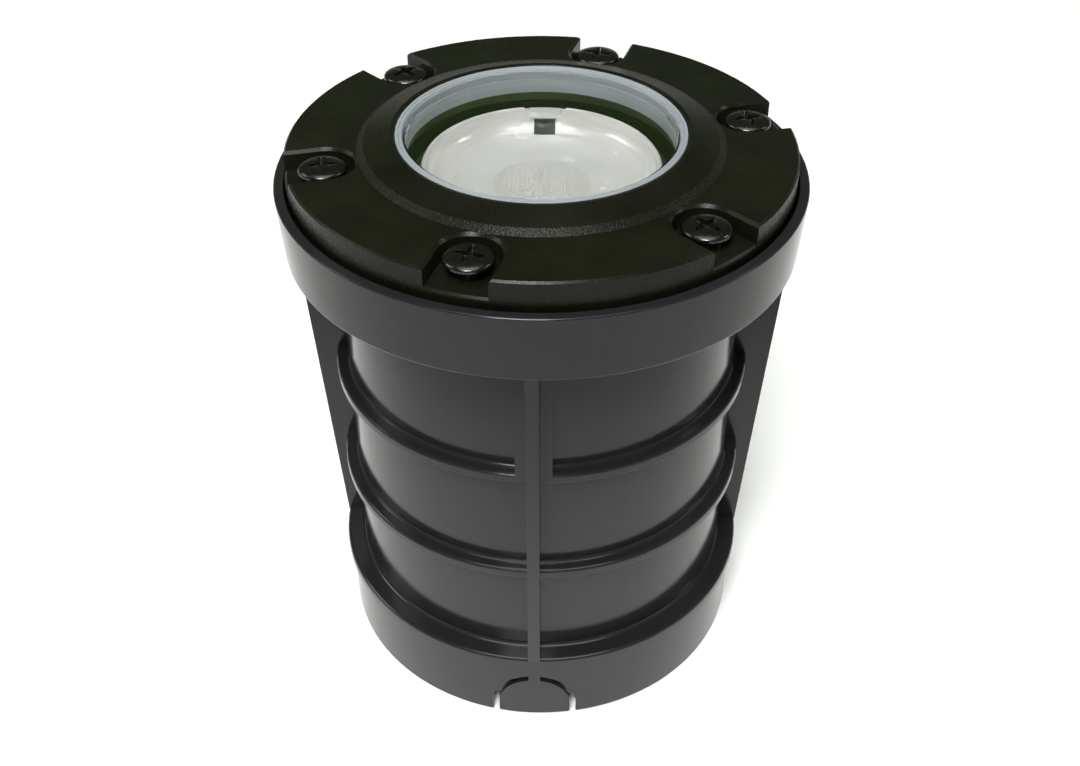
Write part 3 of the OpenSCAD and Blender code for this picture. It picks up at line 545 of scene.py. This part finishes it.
def add_all_screws(finishes):
    """Every screw with a cross recess."""
    add_screws("cover_screw_set", "cover_screws",
               round_places(count=6, radius=44.8, first=15), seat=120.8, flip=False,
               material=finishes["screw"], body="cover_body", slot="screw_black",
               head_r=4.9, head_t=1.6, shank_r=2.4, length=14.1, neck_r=3.25, neck_h=2.4)
    add_screws("bracket_screw_set", "bracket_screws",
               round_places(count=3, radius=36.95, first=90), seat=96.4, flip=False,
               material=finishes["zinc"], body="housing_body", slot="zinc_steel",
               head_r=2.6, head_t=1.8, shank_r=1.5, length=10.5, neck_r=1.52, neck_h=0.1)
    add_screws("retainer_screw_set", "retainer_screws",
               round_places(count=6, radius=34.6, first=45), seat=114.25, flip=True,
               material=finishes["zinc"], body="cover_body", slot="zinc_steel",
               head_r=2.1, head_t=1.4, shank_r=1.1, length=5, neck_r=1.12, neck_h=0.1)


# ---------------------------------------------------------------- lamp and gasket
WINDOW_RADIUS = 9.4
MOUTH_HEIGHT = 114.0  # of the reflector


def add_window(finishes):
    """The pebbled window in the middle of the reflector."""
    base, edge, crown = 107.8, 1.2, 1.65
    rings, steps = 44, 200
    pitch, pebble = 0.95, 0.1
    calm_rim, calm_fade = 0.5, 0.8
    lip, lip_drop, lip_rise = 0.8, 0.03, 0.01
    wave = 2 * pi / pitch

    def pebbles(x, y):
        """Three waves at 60 degrees to each other, which die out towards the rim."""
        fade = max(0, min(1, (WINDOW_RADIUS - calm_rim - hypot(x, y)) / calm_fade))
        lean = y * sqrt(3)
        bumps = cos(wave * x) + 2 * cos(wave * x / 2) * cos(wave * lean / 2)
        return pebble * fade * (bumps - 1) / 2

    profile = [(0, base), (WINDOW_RADIUS, base), (WINDOW_RADIUS, base + edge - lip_drop),
               (WINDOW_RADIUS + lip, base + edge + lip_rise)]
    for i in range(rings + 1):
        share = 1 - i / rings
        profile.append((WINDOW_RADIUS * share,
                        base + edge + (crown - edge) * (1 - share ** 2)))
    verts, faces = revolve(profile, steps, lift=pebbles)
    verts[0] = (0, 0, base)  # the underside stays flat
    add_piece("pebbled_window", verts, faces, finishes["optic"], "lamp_body", "lamp_window")


def sweep(radius, path, steps):
    """A closed tube of round section along points."""
    verts, faces = [], []
    for i, point in enumerate(path):
        ahead = path[min(i + 1, len(path) - 1)] - path[max(i - 1, 0)]
        side = Vector((-ahead.y, ahead.x, 0)).normalized()
        rise = side.cross(ahead).normalized()
        for k in range(steps):
            turn = 2 * pi * k / steps
            verts.append(point + (side * cos(turn) + rise * sin(turn)) * radius)
    for i in range(len(path) - 1):
        for k in range(steps):
            j = (k + 1) % steps
            faces.append([i * steps + k, i * steps + j, (i + 1) * steps + j, (i + 1) * steps + k])
    last = (len(path) - 1) * steps
    faces.append(list(range(steps - 1, -1, -1)))
    faces.append(list(range(last, last + steps)))
    return verts, faces


def add_rim_bead(finishes):
    """The bead round the mouth of the reflector, open at the clip."""
    ring_radius, bead_radius = 24.35, 0.48
    clip_angle, gap = 90, 11
    steps, section_steps = 120, 12
    turns = [radians(clip_angle + gap + (360 - 2 * gap) * i / steps) for i in range(steps + 1)]
    path = [Vector((ring_radius * cos(a), ring_radius * sin(a), MOUTH_HEIGHT)) for a in turns]
    verts, faces = sweep(bead_radius, path, section_steps)
    add_piece("rim_bead", verts, faces, finishes["pearl"], "lamp_body", None)


def add_dark_opening_sheet(finishes):
    """A thin dark strip bent down the bowl under the clip tab: painted shade, which stands for
    the dark opening there.
    """
    half_width, horn_width, horn_height = 2.35, 0.7, 0.55
    high, low, steps = 111.87, 109.77, 14
    thickness, lean_share, off_bowl = 0.12, 0.7, 0.05
    bowl_outer, bowl_depth, bowl_power = 23.9, 5.0, 0.46

    def bowl_radius(z):
        share = sqrt(1 - ((MOUTH_HEIGHT - z) / bowl_depth) ** 2)
        return WINDOW_RADIUS + (bowl_outer - WINDOW_RADIUS) * share ** bowl_power

    columns = (-half_width, -half_width + horn_width, half_width - horn_width, half_width)
    row, strips = 2 * len(columns), len(columns) - 1
    verts, faces = [], []
    for i in range(steps + 1):
        for x in columns:
            top = high - (horn_height if abs(x) < half_width else 0)
            z = top + (low - top) * i / steps
            r = bowl_radius(z) - off_bowl
            verts.append((x, r, z))
            verts.append((x, r - thickness * lean_share, z + thickness))
    for i in range(steps):
        for k in range(strips):
            a, b = row * i + 2 * k, row * (i + 1) + 2 * k
            faces += [[a, b, b + 2, a + 2], [a + 1, a + 3, b + 3, b + 1]]
        for k in (0, row - 2):
            a, b = row * i + k, row * (i + 1) + k
            faces.append([a, a + 1, b + 1, b])
    for end in (0, row * steps):
        faces += [[end + 2 * k, end + 2 * k + 2, end + 2 * k + 3, end + 2 * k + 1]
                  for k in range(strips)]
    add_piece("painted_shade_sheet", verts, faces, finishes["steel"], "lamp_body", None)


# Section of the lens gasket, as (radius, height): flange, outer wall, two beads with the
# groove between them, and the inner wall, which reaches 0.03 mm into the edge of the glass
# because the two are bonded.
GASKET_SECTION = [
    (27.7, 116.45), (32.95, 116.45), (32.95, 120.55), (29.85, 120.55), (29.85, 124.7),
    (29.82, 124.86), (29.72, 124.98), (29.58, 125.04), (29.42, 125.05), (29.28, 125.01),
    (29.17, 124.9), (29.1, 124.76), (29.04, 124.74), (28.98, 124.79), (28.9, 124.88),
    (28.78, 124.94), (28.64, 124.94), (28.5, 124.87), (28.4, 124.74), (28.35, 124.55),
    (28.27, 124.4), (28.27, 119.47), (27.7, 119.47),
]
GASKET_STEPS = 192


def add_gasket(finishes):
    """The lens gasket with its two beads and the groove between them."""
    verts, faces = revolve(GASKET_SECTION, GASKET_STEPS, closed=True)
    add_piece("beaded_gasket", verts, faces, finishes["silicone"], "cover_body", "lens_gasket")


finishes = make_finishes()
add_camera()
add_studio()
dress_nodes(finishes)
add_all_screws(finishes)
add_window(finishes)
add_rim_bead(finishes)
add_dark_opening_sheet(finishes)
add_gasket(finishes)
